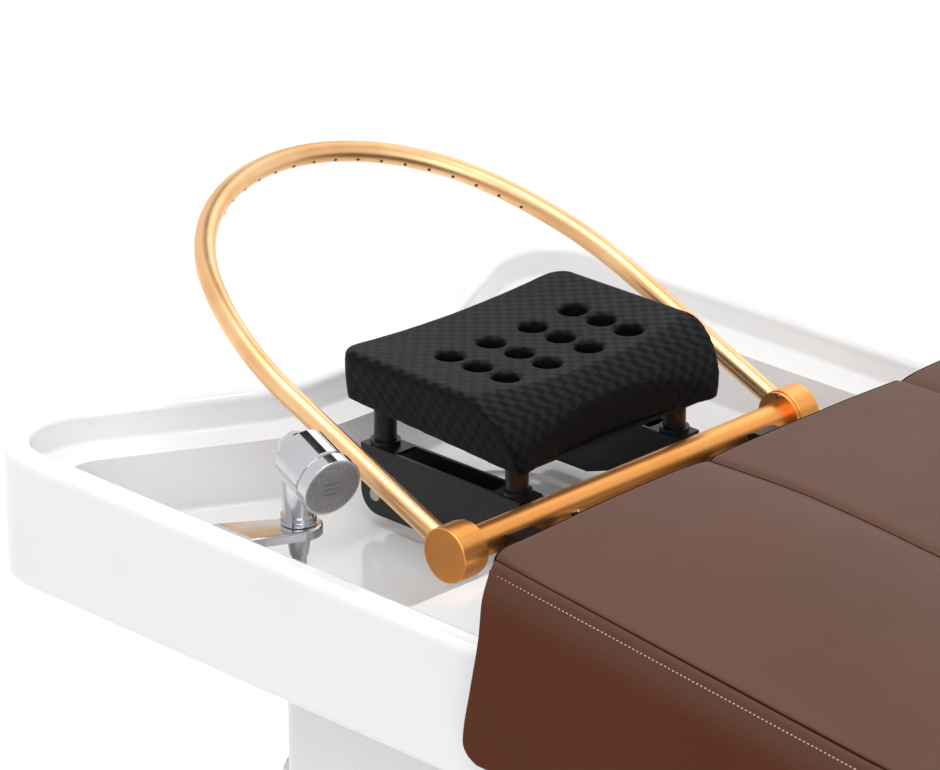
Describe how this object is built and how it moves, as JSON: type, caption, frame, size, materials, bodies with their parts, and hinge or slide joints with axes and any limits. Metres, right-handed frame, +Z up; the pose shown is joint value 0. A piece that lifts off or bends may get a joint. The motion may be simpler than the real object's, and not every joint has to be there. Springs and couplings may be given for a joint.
{
  "type": "hair washing bed",
  "caption": "Hair washing bed with a waisted ceramic basin, swinging spray arch, tilting head pad, lift-out handset and an upholstered bed on a steel frame",
  "frame": {"origin": "on the floor, centred below the whole bed", "axes": "+X to the foot end, +Y to the far side of the picture, +Z up"},
  "size_m": [2.0014, 0.75, 0.723],
  "materials": {
    "glazed_white": "glossy white glaze",
    "white_sheet": "white enamel",
    "chrome": "polished",
    "rubber_black": "matte",
    "plastic_white": "plain moulded",
    "satin_gold": "satin rose gold plating",
    "black_metal": "satin black",
    "black_pad": "matte moulded with fine lines",
    "steel": "bright steel",
    "brass": "raw brass",
    "bearing_plastic": "dark plastic",
    "frame_paint": "dark powder coat",
    "board": "plywood",
    "leather": "fine grained brown"
  },
  "bodies": {
    "base": {"basin": "glazed_white", "drain_flange": "chrome", "drain_gasket": "rubber_black", "drain_locknut": "plastic_white", "bottle_trap": "plastic_white", "waste_pipe": "plastic_white", "arch_bar": "satin_gold", "bar_saddles": "black_metal", "carrier_screws": "steel", "arch_supply_pipe": "steel", "support_bridge": "steel", "bridge_bolts": "steel", "bridge_nuts": "steel", "headrest_rails": "black_metal", "hose_grommet": "rubber_black", "hose_sleeve": "plastic_white", "handset_feed_pipe": "steel", "handset_holder": "chrome", "holder_screws": "chrome", "mixer_valve": "brass", "valve_nuts": "steel", "inlet_tails": "steel", "pedestal_shell": "white_sheet", "pedestal_top_plate": "white_sheet", "pedestal_base": "white_sheet", "door_hinges": "steel", "door_catch": "bearing_plastic", "head_cross_member": "frame_paint", "frame_rails": "frame_paint", "cross_members": "frame_paint", "bed_legs": "frame_paint", "levelling_feet": "frame_paint", "skirt_boards": "board", "top_board": "board", "cross_battens": "board", "mattress_top": "leather", "side_skirts": "leather", "foot_skirt": "leather"},
    "spray_arch": {"end_caps": "satin_gold", "cap_rings": "satin_gold", "cap_screws": "steel", "swivel_bushes": "bearing_plastic", "arch_tube": "satin_gold", "spray_jets": "bearing_plastic"},
    "headrest": {"headrest_channels": "black_metal", "pivot_bolts": "steel", "pivot_nuts": "steel", "pivot_spacers": "steel", "headrest_posts": "black_metal", "pad_plate": "black_metal", "headrest_pad": "black_pad"},
    "handset_hose": {"hose_nut": "chrome", "shower_hose": "chrome"},
    "handset": {"handset_body": "chrome", "spray_face": "chrome", "handset_collar": "chrome"},
    "strainer": {"hair_strainer": "chrome"},
    "temperature_control": {"temperature_knob": "chrome"},
    "diverter_control": {"diverter_knob": "chrome"},
    "door": {"access_door": "white_sheet"}
  },
  "joints": [
    {"name": "arch_tilt", "type": "hinge", "parent": "base", "child": "spray_arch", "pos_m": [-0.568, 0, 0.535], "axis": [0, 1, 0], "range_deg": [0, 52]},
    {"name": "headrest_tilt", "type": "hinge", "parent": "base", "child": "headrest", "pos_m": [-0.756, 0, 0.5], "axis": [0, -1, 0], "range_deg": [0, 12]},
    {"name": "handset_lift", "type": "slide", "parent": "base", "child": "handset_hose", "axis": [0, 0, 1], "range_m": [0, 0.055]},
    {"name": "handset_swivel", "type": "hinge", "parent": "handset_hose", "child": "handset", "pos_m": [-0.672, -0.283, 0.555], "axis": [0, 0, 1], "range_deg": [-80, 30]},
    {"name": "strainer_lift", "type": "slide", "parent": "base", "child": "strainer", "axis": [0, 0, 1], "range_m": [0, 0.05]},
    {"name": "temperature_turn", "type": "hinge", "parent": "base", "child": "temperature_control", "pos_m": [-0.767, -0.175, 0.25], "axis": [-1, 0, 0], "range_deg": [-90, 90]},
    {"name": "diverter_turn", "type": "hinge", "parent": "base", "child": "diverter_control", "pos_m": [-0.767, -0.125, 0.25], "axis": [-1, 0, 0], "range_deg": [0, 90]},
    {"name": "door_swing", "type": "hinge", "parent": "base", "child": "door", "pos_m": [-0.416, 0.237, 0.215], "axis": [0, 0, -1], "range_deg": [0, 110]}
  ]
}
